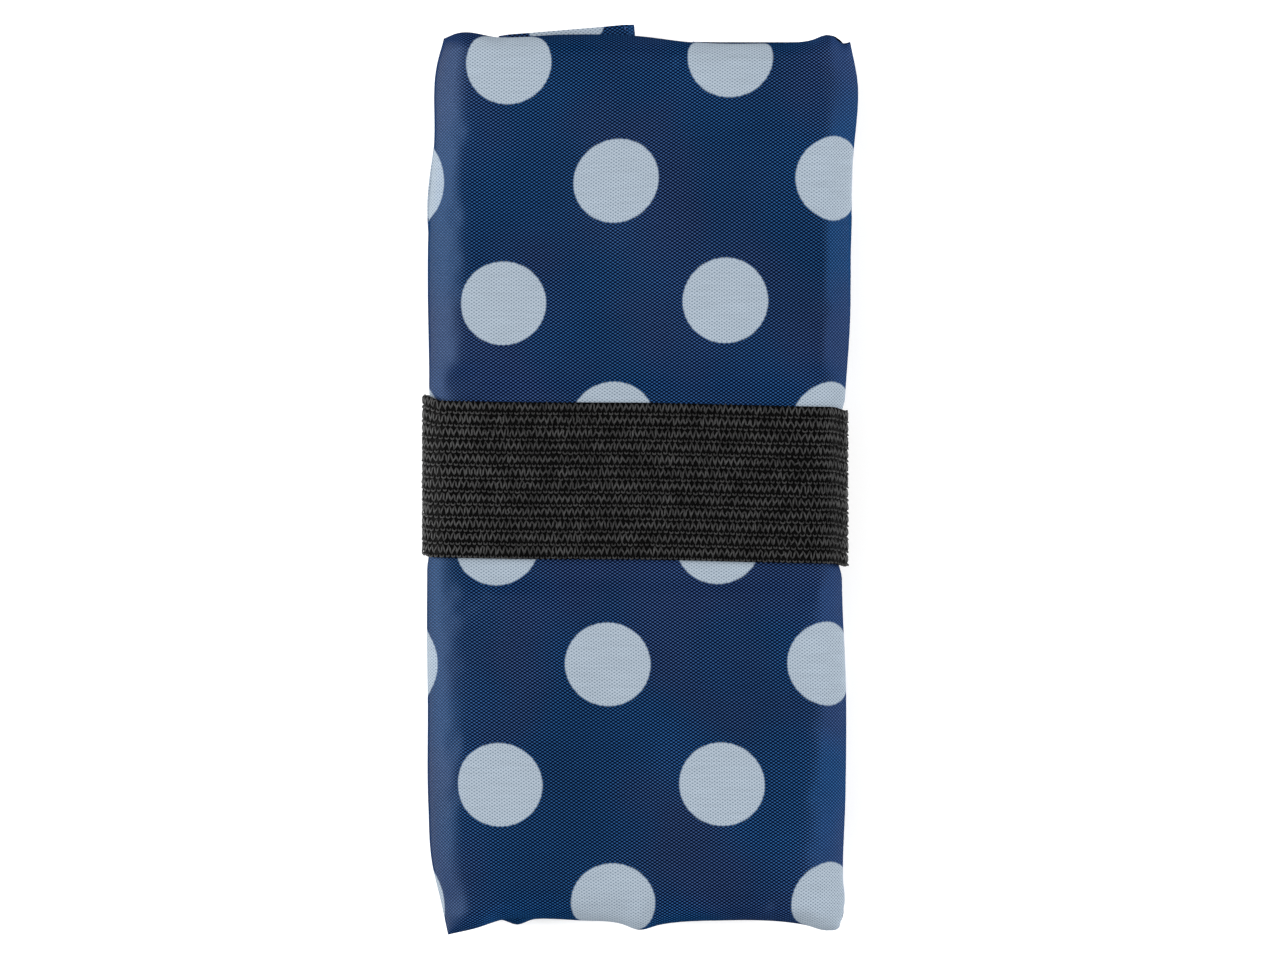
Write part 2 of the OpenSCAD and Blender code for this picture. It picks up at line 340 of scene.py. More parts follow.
def pad(name, sides, ends, turns, levels, leaves, leads, seed, start=None, drift=None,
        simulated=False):
    """A soft stack of cloth leaves as one closed skin. sides and ends are functions of y and x that
    give its edges; turns is the width of its rounded edges (left, right, low end, high end, below);
    levels are functions of x and y for its upper face, widest line and lower face; leads says
    which sheet, "top" or "under", continues the bag's cloth; start is where its v begins; drift
    is a function of x and y for how far its cloth lies off the straight grain; simulated lets its
    face pucker."""
    top, under, owner = pad_grids(sides, ends, turns, levels, leaves, seed)
    rise = pucker(top) if simulated else 0.0
    rows, cols = top.shape[:2]
    inner = np.zeros((rows, cols), bool)
    inner[1:-1, 1:-1] = True
    index_top = np.arange(rows * cols).reshape(rows, cols)
    index_under = index_top.copy()
    index_under[inner] = rows * cols + np.arange(inner.sum())
    under[~inner] = top[~inner]

    def sheet_uv(points):
        u = zeroed(running_length(points, 1), points[:, :, 0], 1)
        uv = np.stack([u, along_cloth(points, start)], 2)
        return uv + np.stack(drift(points[:, :, 0], points[:, :, 1]), 2) if drift else uv

    top_uv, under_uv = sheet_uv(top), sheet_uv(under)
    top_corners, under_corners = cells(top_uv), cells(under_uv)
    # each lower leaf shows another part of the cloth; the top leaf's cloth runs on into its curl
    for k, leaf in enumerate(owner):
        for strip, edge in ((k, 0), (cols - 2 - k, -1)):
            if leaf < 0:
                shift = top_uv[:, edge, 0] - under_uv[:, edge, 0]
                under_corners[:, strip, :, 0] += shift[:-1, None]
            elif leaf < leaves - 1:
                under_corners[:, strip] += (np.multiply(LEAF_APART, leaf + 1)
                                            + np.multiply(SIDE_APART, edge))
    faces = np.concatenate([cells(index_top).reshape(-1, 4), cells(index_under).reshape(-1, 4)[:, ::-1]])
    uvs = np.concatenate([top_corners.reshape(-1, 4, 2), under_corners.reshape(-1, 4, 2)[:, ::-1]])
    face = top.copy()
    face[:, :, 2] += rise
    points = np.concatenate([face.reshape(-1, 3), under[inner]])
    obj = dress(make_mesh(name, points, faces.tolist(), uvs), DOTTED)
    lead, lead_uv = (top, top_uv) if leads == "top" else (under, under_uv)
    tips = {row: (lead[row, :, 0], lead_uv[row, :, 1]) for row in (0, -1)}
    return obj, tips


def carry_on(tip, slack=0.0):
    """v where another pad's sheet left off, as a function of x; slack is cloth tucked in between."""
    slope, level = np.polyfit(tip[0], tip[1], 1)
    return lambda x: level + slack + slope * x


# ------ materials
class Nodes:
    """Short calls for building a node material."""

    def __init__(self, name):
        self.material = bpy.data.materials.new(name)
        self.material.use_nodes = True
        self.tree = self.material.node_tree
        self.tree.nodes.clear()
        out = self.add("ShaderNodeOutputMaterial")
        self.shader = self.add("ShaderNodeBsdfPrincipled")
        self.link(self.shader.outputs[0], out.inputs["Surface"])

    def add(self, kind, inputs=(), **settings):
        """A node, with links or numbers for some inputs."""
        node = self.tree.nodes.new(kind)
        for key, value in settings.items():
            setattr(node, key, value)
        for key, value in dict(inputs).items():
            self.feed(node.inputs[key], value)
        return node

    def link(self, source, socket):
        self.tree.links.new(source, socket)

    def feed(self, socket, value):
        if isinstance(value, bpy.types.NodeSocket):
            self.link(value, socket)
        else:
            socket.default_value = value

    def math(self, operation, *values):
        return self.add("ShaderNodeMath", enumerate(values), operation=operation).outputs[0]

    def times(self, a, b):
        return self.math("MULTIPLY", a, b)

    def scale_add(self, value, scale, added):
        return self.math("MULTIPLY_ADD", value, scale, added)

    def mix(self, share, a, b):
        a, b = ((*color, 1.0) if isinstance(color, tuple) else color for color in (a, b))
        return self.add("ShaderNodeMix", {0: share, 6: a, 7: b}, data_type="RGBA").outputs[2]

    def scaled(self, color, factor):
        scaled = self.add("ShaderNodeVectorMath", {0: color, "Scale": factor}, operation="SCALE")
        return scaled.outputs[0]

    def smooth(self, value, low, high):
        return self.add("ShaderNodeMapRange", enumerate((value, low, high, 0.0, 1.0)),
                        interpolation_type="SMOOTHSTEP").outputs[0]

    def noise(self, vector, scale, detail):
        return self.add("ShaderNodeTexNoise", dict(Vector=vector, Scale=scale, Detail=detail)).outputs[0]

    def bump(self, height, distance, strength):
        return self.add("ShaderNodeBump",
                        dict(Height=height, Distance=distance, Strength=strength)).outputs[0]

    def split(self, vector):
        return self.add("ShaderNodeSeparateXYZ", {0: vector}).outputs

    def finish(self, color, roughness, normal=None, **constants):
        self.feed(self.shader.inputs["Base Color"], color)
        self.feed(self.shader.inputs["Roughness"], roughness)
        if normal is not None:
            self.link(normal, self.shader.inputs["Normal"])
        for key, value in constants.items():
            self.feed(self.shader.inputs[key.replace("_", " ").title().replace("Ior", "IOR")], value)
        return self.material


# Woven cloth: thread pitches, dots and colours
WARP_PITCH = 0.395  # mm between threads across
WEFT_PITCH = 0.262  # mm between threads along
DOT_R = 6.7
DOT_SQUASH = (0.985, 1.01)  # the printed dots are a little wider than they are tall
DOT_STEP = (17.7, 19.2)  # half the dots' spacing, across and along
DOT_AT = (-4.5, 9.2)  # one dot's centre
DOT_TURN = math.radians(-0.45)
LIT_MEAN = 0.27  # how lit the threads are on average
PAINTED_SHEEN_GAPS_HIDDEN = 0.55  # share of the weave's contrast lost where the cloth slopes, as painted sheen
LEFT_SLOPE, RIGHT_SLOPE = (-0.12, -0.42), (0.17, 0.47)  # slopes from where to where this sets in
# the dash colours are the yarn's own colour on the threads' lit tops; the gap colours are painted shade
# between the threads
BLUE_DASH, VIOLET_DASH = (0.0120, 0.069, 0.196), (0.0270, 0.064, 0.172)
NAVY_GAP = (0.0, 0.0006, 0.0080)
ICE_DASH, ICE_GAP = (0.289, 0.337, 0.390), (0.110, 0.150, 0.192)


def woven_material(name):
    """Plain-woven polyester; the pattern runs in cloth coordinates, so it wraps round every edge."""
    n = Nodes(name)
    uv = n.add("ShaderNodeUVMap", uv_map="UVMap").outputs[0]
    u, v = (n.times(part, 1 / MM) for part in n.split(uv)[:2])
    wander = n.noise(uv, 900.0, 1.0)
    u_thread = n.scale_add(wander, 0.10, u)
    v_thread = n.scale_add(wander, -0.06, v)
    over = n.times(*(n.math("SINE", n.times(thread, math.pi / pitch))
                     for thread, pitch in ((u_thread, WARP_PITCH), (v_thread, WEFT_PITCH))))
    lit = n.smooth(over, -0.28, 0.95)
    hue = n.smooth(n.noise(uv, 34.0, 2.0), 0.40, 0.60)
    # painted sheen: cloth that slopes towards a side hides its gaps and shows more of its lit threads,
    # standing in for the sheen there
    slope = n.split(n.add("ShaderNodeTexCoord").outputs["Normal"])
    left, right = n.smooth(slope[0], *LEFT_SLOPE), n.smooth(slope[0], *RIGHT_SLOPE)
    painted_sheen_share = n.times(n.math("ADD", left, right), PAINTED_SHEEN_GAPS_HIDDEN)
    lit = n.scale_add(n.math("SUBTRACT", LIT_MEAN, lit), painted_sheen_share, lit)
    # painted light and shade: the slow noise paints broad lighter and darker patches for the shading of
    # the face's gentle undulations
    slow = n.noise(uv, 45.0, 3.0)
    # painted light: the navy is painted lighter where the cloth slopes to the left, more so to the
    # right, and where it turns down at the lower end
    painted_light = n.scale_add(left, 0.25, n.scale_add(slow, 0.75, 0.625))
    painted_light = n.scale_add(right, 0.62, painted_light)
    painted_light = n.scale_add(n.smooth(slope[1], -0.15, -0.5), 0.2, painted_light)
    cloth = n.scaled(n.mix(lit, NAVY_GAP, n.mix(hue, BLUE_DASH, VIOLET_DASH)), painted_light)
    cos, sin = math.cos(DOT_TURN), math.sin(DOT_TURN)
    du, dv = n.math("SUBTRACT", u, DOT_AT[0]), n.math("SUBTRACT", v, DOT_AT[1])
    across = n.math("ADD", n.times(du, cos), n.times(dv, sin))
    along = n.math("SUBTRACT", n.times(dv, cos), n.times(du, sin))
    nearest = None
    for shift in (0, 1):
        part = []
        for place, size, squash in zip((across, along), DOT_STEP, DOT_SQUASH):
            moved = n.math("WRAP", n.math("SUBTRACT", place, shift * size), size, -size)
            part.append(n.math("POWER", n.math("ABSOLUTE", n.times(moved, squash)), 2.0))
        far = n.math("SQRT", n.math("ADD", *part))
        nearest = far if nearest is None else n.math("MINIMUM", nearest, far)
    ragged = n.scale_add(over, 0.11, nearest)
    inside = n.smooth(ragged, DOT_R + 0.13, DOT_R - 0.13)
    cloth = n.mix(inside, cloth, n.mix(n.smooth(over, -0.95, 0.10), ICE_GAP, ICE_DASH))
    # single threads catch more light, and the slow noise paints faint broad light and shade over all the
    # cloth
    streak = n.add("ShaderNodeMapping", {0: uv, "Scale": (160.0, 2600.0, 1.0)}).outputs[0]
    threads = n.noise(streak, 1.0, 1.0)
    shade = n.scale_add(slow, 0.12, n.scale_add(threads, 0.22, 0.83))
    normal = n.bump(over, 0.00005, 0.55)
    rough = n.scale_add(lit, -0.06, 0.42)
    # only the raised threads are glossy, and cloth seen edge on is matt
    edge_on = n.add("ShaderNodeLayerWeight").outputs["Facing"]
    tilted = n.scale_add(left, 0.24, n.times(right, -0.06))
    gloss = n.math("MAXIMUM", n.math("ADD", n.scale_add(lit, 0.25, 0.04), tilted), 0.0)
    gloss = n.times(gloss, n.smooth(edge_on, 0.62, 0.25))
    gloss = n.times(gloss, n.smooth(n.math("ABSOLUTE", slope[1]), 0.60, 0.12))
    n.shader.inputs["Specular IOR Level"].default_value = 0.13  # for an export that drops the link
    return n.finish(n.scaled(cloth, shade), rough, normal, specular_ior_level=gloss,
                    specular_tint=(0.42, 0.62, 1.0, 1.0))


def thread_material(name, color):
    """Twisted sewing thread: fine slanting plies."""
    n = Nodes(name)
    place = n.add("ShaderNodeTexCoord").outputs["Object"]
    plies = n.add("ShaderNodeTexWave", dict(Vector=place, Scale=900.0, Distortion=1.5),
                  bands_direction="DIAGONAL").outputs["Fac"]
    light = tuple(min(1.0, c * 1.5 + 0.01) for c in color)
    return n.finish(n.mix(plies, color, light), 0.7, n.bump(plies, 0.00006, 0.6), sheen_weight=0.3,
                    sheen_roughness=0.25, specular_ior_level=0.1)


def elastic_material(name, dark, light, fuzz, gloss, painted_left_light):
    """Black polyester yarn, with a dusty light fuzz that varies from place to place; the last
    argument is how much lighter the yarn is painted towards the band's left turn, as painted light."""
    n = Nodes(name)
    place = n.add("ShaderNodeTexCoord").outputs["Object"]
    grain = n.noise(place, 2600.0, 3.0)
    patch = n.noise(place, 420.0, 2.0)
    share = n.smooth(n.scale_add(patch, 0.6, n.times(grain, 0.6)), 0.42, 0.82)
    # painted light: the yarn is painted lighter towards the band's left turn, where it curves towards
    # the left lamp
    share = n.scale_add(n.smooth(n.split(place)[0], -0.020, -0.034), painted_left_light, share)
    return n.finish(n.mix(share, dark, light), 0.42, n.bump(grain, 0.00008, 0.5),
                    sheen_weight=fuzz, sheen_roughness=0.3, specular_ior_level=gloss)


DOTTED = woven_material("dotted_cloth")
THREAD = thread_material("navy_thread", (0.020, 0.045, 0.13))
BLACK_THREAD = thread_material("black_thread", (0.012, 0.012, 0.013))
ELASTIC_BASE = elastic_material("elastic_base", (0.0009,) * 3, (0.0028,) * 3, 0.0, 0.03, 0.0)
# the yarn's last number paints it lighter towards the band's left turn, as painted light
ELASTIC_YARN = elastic_material("elastic_yarn", (0.0070, 0.0070, 0.0071), (0.040,) * 3, 0.06, 0.30, 0.55)


def dress(obj, material):
    """Gives a piece its material."""
    obj.data.materials.append(material)
    return obj


# ------ the three folded sections
SLIT = 0.02  # half the slit where two sections meet at a fold
HANDLES_X = (-24.5, 30.0)  # where the handles lie, between back and middle


def over_handles(x, y):
    """1 where the folded handles lift the cloth, 0 away from them."""
    low, high = HANDLES_X
    return step(low - 2.5, low + 1, x) * step(high + 2.5, high - 0.5, x) * step(-6, 0, y)


def front_top(x, y):
    """The face: it rises and falls slowly, with finer ripples and a ridge by its long edges."""
    slow = 0.42 * waves(x, y, 11, 24, 60)
    fine = 0.06 * waves(x, y * 0.35, 12, 5, 11) * step(16, 30, np.abs(x))
    level = FRONT_HIGH[2] - 0.15 - 0.90 * waist(y)
    ends = 0.55 * step(52, 70, np.abs(y))
    ridge = 0.25 * np.exp(-((x - 29.0 - 0.02 * y) / 1.6) ** 2) * step(12, 22, y) * step(66, 52, y)
    return level - ends + (slow + fine) * (1 - 0.85 * waist(y)) + ridge


def front_widest(x, y):
    return FOLD_HIGH[2] + 0.35 + (SLIT - 0.35) * step(62, 69, y) + 0 * x


def front_under(x, y):
    return FOLD_HIGH[2] + SLIT + 0 * x


def pulled_in(edge, amount, middle):
    """A side edge of the packet, drawn in a little under the band, whose middle is at one y."""
    return lambda y: edge(y) + amount * pinch(y - middle)


DRIFT_ACROSS = curve([(-66, -0.6), (-48, -0.15), (-29, 0.5), (-14, 0.75), (14, 0.0), (48, -0.2),
                      (66, -0.65)])
DRIFT_ALONG = curve([(-65, -0.5), (-48, -0.35), (-14, -0.5), (14, -0.55), (29, -0.75), (48, -1.35),
                     (66, -1.5)])


def face_drift(x, y):
    """How far the face's cloth lies off the straight grain, across and along the packet, with the
    cloth that fine creases near its side edges take up."""
    across = DRIFT_ACROSS(y) - 1.3 * step(-28, -33, x) + 1.2 * step(28.5, 33, x)
    return across, DRIFT_ALONG(y) * step(-16, 16, x)


front_cloth, front_tips = pad(
    "front_cloth", (pulled_in(left_edge, 0.5, 0.55), pulled_in(right_edge, -0.9, -1.0)),
    (bottom_edge, top_edge), (6.6, 6.6, 3.4, 2.9, 4.0), (front_top, front_widest, front_under),
    1, "top", seed=13, drift=face_drift, simulated=True)
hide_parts("front_outer_cloth", "front_inner_pleats", "front_side_seams", "bottom_seam")


def middle_top(x, y):
    return FOLD_HIGH[2] - SLIT - 0.3 * step(60, 40, y) - 0.1 * step(-40, -60, y) + 0 * x


def middle_widest(x, y):
    side = MIDDLE_HIGH[2] - 0.8
    low_end, high_end = step(-58, -69, y), step(60, 69, y)
    return side + (FOLD_LOW[2] + SLIT - side) * low_end + (FOLD_HIGH[2] - SLIT - side) * high_end


def middle_under(x, y):
    open_level = FOLD_LOW[2] + 0.2 - 0.15 * step(-60, -68, y)
    return open_level + (MIDDLE_LOW[2] - open_level) * over_handles(x, y)


def inset_sides(amount, seed):
    """The packet's side edges, drawn in by an amount, each with its own small waves."""
    def left(y):
        return left_edge(y) + amount + 0.3 * waves(y, 0 * y, seed, 14, 45) + 0.45 * pinch(y)

    def right(y):
        return right_edge(y) - amount + 0.3 * waves(y, 0 * y, seed + 1, 14, 45) - 0.45 * pinch(y)
    return left, right


LOW_TIP = -70.6  # how far the back-to-middle fold reaches
FOLD_SLACK = 14.0  # mm of cloth tucked into the front-to-middle fold


def low_fold(x):
    """The edge of the back-to-middle fold, with one bulge that shows past the front."""
    return LOW_TIP + 0.15 * waves(x, 0 * x, 33, 14, 40) - 0.95 * np.exp(-((x + 20.0) / 1.8) ** 2)


def hem_end(x):
    """The end edge of the back third, which leaves room for the hem."""
    return 60 + 0.25 * waves(x, 0 * x, 55, 14, 40)


middle_cloth, middle_tips = pad(
    "middle_cloth", inset_sides(0.8, 31), (low_fold, top_edge), (2.5, 2.5, 2.6, 2.6, 4.5),
    (middle_top, middle_widest, middle_under), 3, "under", seed=41,
    start=(-1, carry_on(front_tips[-1], FOLD_SLACK)))
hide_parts("middle_outer_cloth", "middle_inner_pleats", "middle_side_seams",
            "middle_to_front_fold")


def back_top(x, y):
    open_level = FOLD_LOW[2] - SLIT - 0.1 * step(-60, -40, y)
    level = open_level + (BACK_HIGH[2] - 0.05 - open_level) * over_handles(x, y)
    return level + (BACK_HIGH[2] - 0.3 - level) * step(52, 57, y)


def back_widest(x, y):
    side = BACK_HIGH[2] - 0.5
    return side + (FOLD_LOW[2] - SLIT - side) * step(-58, -69, y)


def back_under(x, y):
    return 0.06 + 1.1 * waist(y) + 0.25 * step(50, 57, y) + 0.03 * waves(x, y, 53, 20, 45)


back_cloth, _ = pad(
    "back_cloth", inset_sides(1.0, 51), (low_fold, hem_end), (2.5, 2.5, 2.6, 1.5, 3.0),
    (back_top, back_widest, back_under), 3, "top", seed=61, start=(0, carry_on(middle_tips[0])))
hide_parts("back_outer_cloth", "back_inner_pleats", "back_side_seams",
            "back_to_middle_fold")

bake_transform(front_cloth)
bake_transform(middle_cloth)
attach(back_cloth, "back_section")


# ------ straps, yarn and stitches
STRAP_T = 0.36
STRAP_POINTS = 14  # across a strap
EDGE_STITCH = 2.6  # mm from one edge stitch to the next
EDGE_IN = 1.5  # mm from a strap's edge to its row of stitches
NO_TUBE_AHEAD = (0.13, 0.21, 0.97)  # a direction that no tube runs in
TUBE_TIP = 0.45  # how thick a tube is at its ends, in shares


def unit(vectors):
    return vectors / np.linalg.norm(vectors, axis=1)[:, None]


def ahead_of(path, closed=False):
    """Direction of a path at each of its points."""
    return unit(np.roll(path, -1, 0) - np.roll(path, 1, 0) if closed else np.gradient(path, axis=0))


def ribbon(name, path, wide, width, v_start, u_start):
    """A closed flat strap of the bag's cloth along a path of points, and the v at its end; wide is
    the unit direction across it."""
    path, wide = np.asarray(path, float), np.asarray(wide, float)
    up = unit(np.cross(wide, ahead_of(path)))
    share = np.linspace(-1, 1, STRAP_POINTS)
    # the long edges of the strap are folded in, so they are a little thicker and round
    half = STRAP_T / 2 * (0.82 + 0.18 * step(0.62, 0.72, np.abs(share)))
    half[[0, -1]] *= 0.35
    offset = share * width / 2
    across, rise = np.append(offset, offset[::-1]), np.append(half, -half[::-1])
    points = path[:, None] + wide * across[:, None] + up[:, None] * rise[:, None]
    index = np.arange(len(path) * len(across)).reshape(len(path), -1)
    run = path_length(path) + v_start
    uv = np.stack(np.broadcast_arrays(u_start + across, run[:, None]), 2)
    faces = ring_cells(index).reshape(-1, 4).tolist() + [index[0].tolist(), index[-1, ::-1].tolist()]
    uvs = np.concatenate([ring_cells(uv).reshape(-1, 2), uv[0], uv[-1, ::-1]])
    return dress(make_mesh(name, points, faces, uvs), DOTTED), run[-1]


def arc(center, radius, start, end):
    """Points of an arc in the side plane (y, z), angles in degrees from +Y."""
    angle = np.radians(np.linspace(start, end, 8))
    return [(0, center[0] + radius * math.cos(a), center[1] + radius * math.sin(a)) for a in angle]


def along_side(y0, y1, z, count=None):
    """Points of a straight run in the side plane."""
    count = count or max(2, int(abs(y1 - y0) / 2))
    return [(0, y, z) for y in np.linspace(y0, y1, count)]


def join(*parts):
    """One path from several, without the points that repeat."""
    path = [p for part in parts for p in part]
    keep = [path[0]] + [b for a, b in zip(path, path[1:]) if math.dist(a, b) > 0.02]
    return np.array(keep)


def tube(paths, radius, wobble, seed, closed=False):
    """Points and faces of thin four-sided tubes, one along each path; wobble is how much their
    thickness varies, and closed joins each tube's end to its start."""
    rng = np.random.default_rng(seed)
    points, faces, start = [], [], 0
    angle = np.radians([0, 90, 180, 270])[None, :, None]
    for path in paths:
        ahead = ahead_of(path, closed)
        side = unit(np.cross(ahead, NO_TUBE_AHEAD))
        up = np.cross(side, ahead)
        size = radius * np.ones(len(path))
        if not closed:
            size[[0, -1]] *= TUBE_TIP
        size = size * (1 + wobble * rng.standard_normal(len(path)))
        ring = np.cos(angle) * side[:, None] + np.sin(angle) * up[:, None]
        points.append((path[:, None] + ring * size[:, None, None]).reshape(-1, 3))
        index = start + np.arange(len(path) * 4).reshape(len(path), 4)
        faces.append(ring_cells(index, closed)[..., [0, 3, 2, 1]].reshape(-1, 4))
        if not closed:
            faces += [index[:1, ::-1], index[-1:]]
        start += index.size
    return np.concatenate(points), np.concatenate(faces).tolist()


STITCH_AT = np.array([0.0, 0.12, 0.3, 0.7, 0.88, 1.0])  # stations along one stitch
STITCH_BOW = np.array([0.0, 0.55, 1.0, 1.0, 0.55, 0.0]) - 0.6  # how far it stands up at each
STITCH_RISE, EDGE_RISE = 0.12, 0.10  # mm that they are multiplied by


def stitch_path(a, b, length=2.3, gap=0.7):
    """Short raised stitches along a straight line from a to b."""
    a, b = np.array(a, float), np.array(b, float)
    total = np.linalg.norm(b - a)
    count = max(1, int(round(total / (length + gap))))
    ahead = (b - a) / total
    pitch = total / count
    rise = np.outer(STITCH_RISE * STITCH_BOW, (0, 0, 1))
    return [a + ahead * (k * pitch + gap / 2) + np.outer(STITCH_AT, ahead) * (pitch - gap) + rise
            for k in range(count)]


def edge_rows(path, wide, width, face):
    """Stitches along both long edges of a strap's path; face is 1 or -1 for the side they are on."""
    path, wide = np.asarray(path, float), np.asarray(wide, float)
    out = face * unit(np.cross(wide, ahead_of(path)))
    run = path_length(path)
    count = int(run[-1] / EDGE_STITCH)
    height = (STRAP_T / 2 + EDGE_RISE * STITCH_BOW)[:, None]
    rows = []
    for side in (-1, 1):
        for k in range(count):
            at = (k + 0.12 + 0.76 * STITCH_AT) * run[-1] / count
            middle, normal = (np.stack([np.interp(at, run, line) for line in grid.T], 1)
                              for grid in (path, out))
            rows.append(middle + wide * side * (width / 2 - EDGE_IN) + normal * height)
    return rows


def stitches(name, paths, nodes=(), material=THREAD, radius=0.15):
    """One piece of many stitches."""
    points, faces = tube(paths, radius, 0.05, 5)
    piece = dress(make_mesh(name, points, faces), material)
    if nodes:
        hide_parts(*nodes)
    return piece


# ------ the handles
SEWN_GAP = 0.03  # mm between a handle's two straps at their sewn ends
LOOP_LEAN = {"left": math.radians(4.8), "right": 0.0}  # how far each loop lies askew
STRAP_V = {"left": 7.0, "right": 25.0}  # where the print begins along each handle's straps
STRAP_U, STRAP_U_APART = -9.0, 11  # and across them: on the outer, and from it to the inner
PAST_MOUTH = 2.2  # mm that the left loop's corner shows past the mouth
TUCKED_END = 69.0  # y of the right loop's end, which doesn't show


def handle(side):
    """One carrying handle: two straps sewn to the hem, folded back over it and turned again."""
    part = f"{side}_handle"
    lower_low, lower_high = node_box(f"{part}_lower_straps")
    loop_low, loop_high = node_box(f"{part}_upper_loop")
    tack_low, _ = node_box(f"{part}_tack")
    root = HINGE[f"lift_{part}"]
    tip = HINGE[f"open_{side}_loop"]
    x = (lower_low[0] + lower_high[0]) / 2
    width = lower_high[0] - lower_low[0]
    start_v = STRAP_V[side]
    # the sewn ends, from the hem out to the root turn, then back over it down to the tip
    for k, name in enumerate(("outer", "inner")):
        inner = name == "inner"
        low = tack_low[2] + STRAP_T / 2 + 0.02 + (STRAP_T + SEWN_GAP) * k
        level = lower_low[2] + STRAP_T / 2 if inner else lower_high[2] - STRAP_T / 2
        turn = (level - low) / 2
        path = join(along_side(tack_low[1] + 0.6 * inner, root[1], low),
                    arc((root[1], low + turn), turn, -90, 90),
                    along_side(root[1], tip[1] + 0.2, level))
        path = path + [x, 0, 0]
        strap, end_v = ribbon(f"{part}_{name}_strap", path, (1, 0, 0), width, start_v,
                              STRAP_U + STRAP_U_APART * k)
        rows = edge_rows(path, (1, 0, 0), width, 1 if inner else -1)
        edges = stitches(f"{part}_{name}_strap_edges", rows, radius=0.11)
        for piece in (strap, edges):
            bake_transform(piece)
    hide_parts(f"{part}_lower_straps", f"{part}_tack")
    # the turned end that shows past the mouth end of the packet
    middle_z = (loop_low[2] + loop_high[2]) / 2
    cos, sin = math.cos(LOOP_LEAN[side]), math.sin(LOOP_LEAN[side])
    reach = (loop_high[1] + PAST_MOUTH - width / 2 * sin if side == "left" else TUCKED_END) - tip[1]
    gap = (loop_high[2] - loop_low[2]) / 2 - STRAP_T / 2
    path = join(along_side(0.9, reach - gap, middle_z - gap),
                arc((reach - gap, middle_z), gap, -90, 90),
                along_side(reach - gap, 0.9, middle_z + gap))
    turned = np.stack([x - path[:, 1] * sin, tip[1] + path[:, 1] * cos, path[:, 2]], 1)
    loop_v = DOT_AT[1] + 3.6 - reach if side == "left" else 20.0
    loop, loop_end = ribbon(f"{part}_loop", turned, (cos, sin, 0), width, loop_v,
                            DOT_AT[0] if side == "left" else -6.0)
    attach(loop, f"{part}_upper")
    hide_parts(f"{part}_upper_loop")
    rows = edge_rows(turned, (cos, sin, 0), width, -1)
    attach(stitches(f"{part}_loop_edges", rows, radius=0.11), f"{part}_upper")
    # the turn between the lower straps and the loop
    fold_low, fold_high = node_box(f"{part}_fold")
    center = (tip[1] - 0.1, (fold_low[2] + fold_high[2]) / 2)
    radius = (fold_high[2] - fold_low[2]) / 2 - STRAP_T / 2
    bend = join(along_side(tip[1] + 2.0, center[0], center[1] - radius, 3), arc(center, radius, 270, 90),
                along_side(center[0], tip[1] + 2.0, center[1] + radius, 3))
    fold, _ = ribbon(f"{part}_turn", bend + [x, 0, 0], (1, 0, 0), width - 0.6, end_v, 2.0)
    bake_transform(fold)
    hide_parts(f"{part}_fold")


SIDES = ("left", "right")
for side in SIDES:
    handle(side)

# ------ the mouth hem and its leaves
HEM_LEAVES = 5
HEM_T = 0.42
HEM_HALF = 30.6  # half the length of its outer leaves


def hem_leaves():
    """The cloth at the bag's mouth: one hemmed strip folded to and fro, seen at the packet's end."""
    low_z, high_z = HEM_LOW[2] + 0.05, HEM_HIGH[2] - 0.05
    pitch = (high_z - low_z - HEM_T) / (HEM_LEAVES - 1)
    path = []
    for k in range(HEM_LEAVES):
        z = low_z + HEM_T / 2 + k * pitch
        side = 1 if k % 2 == 0 else -1
        tip = HEM_HALF - 0.5 * abs(k - 2) + 0.8 * (k == 2) - 1
        path += [(-side * tip * (1 - 2 * s), 0, z) for s in np.linspace(0, 1, 34)]
        if k < HEM_LEAVES - 1:
            path += [(side * (tip + math.cos(a)), 0, z + pitch / 2 * (1 + math.sin(a)))
                     for a in np.linspace(-math.pi / 2, math.pi / 2, 7)[1:-1]]
    path = np.array(path)
    normal = np.cross(ahead_of(path), (0, 1, 0))
    start_y, end_y = HEM_LOW[1] - 0.3, HEM_HIGH[1] - 0.1
    rows = np.concatenate([np.linspace(start_y, end_y - 0.4, 22), [end_y - 0.15, end_y]])
    ring = np.concatenate([path + normal * HEM_T / 2, (path - normal * HEM_T / 2)[::-1]])
    run = path_length(path)
    around = np.append(run, run[::-1])
    ease = np.interp(rows, [end_y - 0.4, end_y], [1.0, 0.35])[:, None, None]
    core = np.concatenate([path, path[::-1]])
    points = core + (ring - core) * ease
    shift = 0.35 * waves(ring[:, 0], 9.0 * np.round(ring[:, 2] / pitch), 71, 18, 60)
    points[:, :, 1] = rows[:, None] + shift * step(start_y, end_y, rows)[:, None]
    index = np.arange(len(rows) * len(ring)).reshape(len(rows), -1)
    uv = np.stack(np.broadcast_arrays(around + 3.0, rows[:, None] + 4 * FOLD_HIGH[1]), 2)

    def cap(grid, row):
        return cells(np.stack([grid[row, :len(path)], grid[row, len(path):][::-1]]))[0]

    faces = np.concatenate([ring_cells(index).reshape(-1, 4), cap(index, 0)[:, ::-1], cap(index, -1)])
    uvs = np.concatenate([ring_cells(uv).reshape(-1, 4, 2), cap(uv, 0)[:, ::-1], cap(uv, -1)])
    return make_mesh("mouth_hem_leaves", points, faces.tolist(), uvs)


mouth_hem = dress(hem_leaves(), DOTTED)
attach(mouth_hem, "back_section")
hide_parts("mouth_hem")


# ------ stitches
hem_line = HEM_LOW[1] + 0.9
hem_row = stitch_path((-29, hem_line, HEM_HIGH[2] + 0.02), (29, hem_line, HEM_HIGH[2] + 0.02))
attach(stitches("mouth_hem_stitches", hem_row, ["mouth_hem_stitching"]), "back_section")

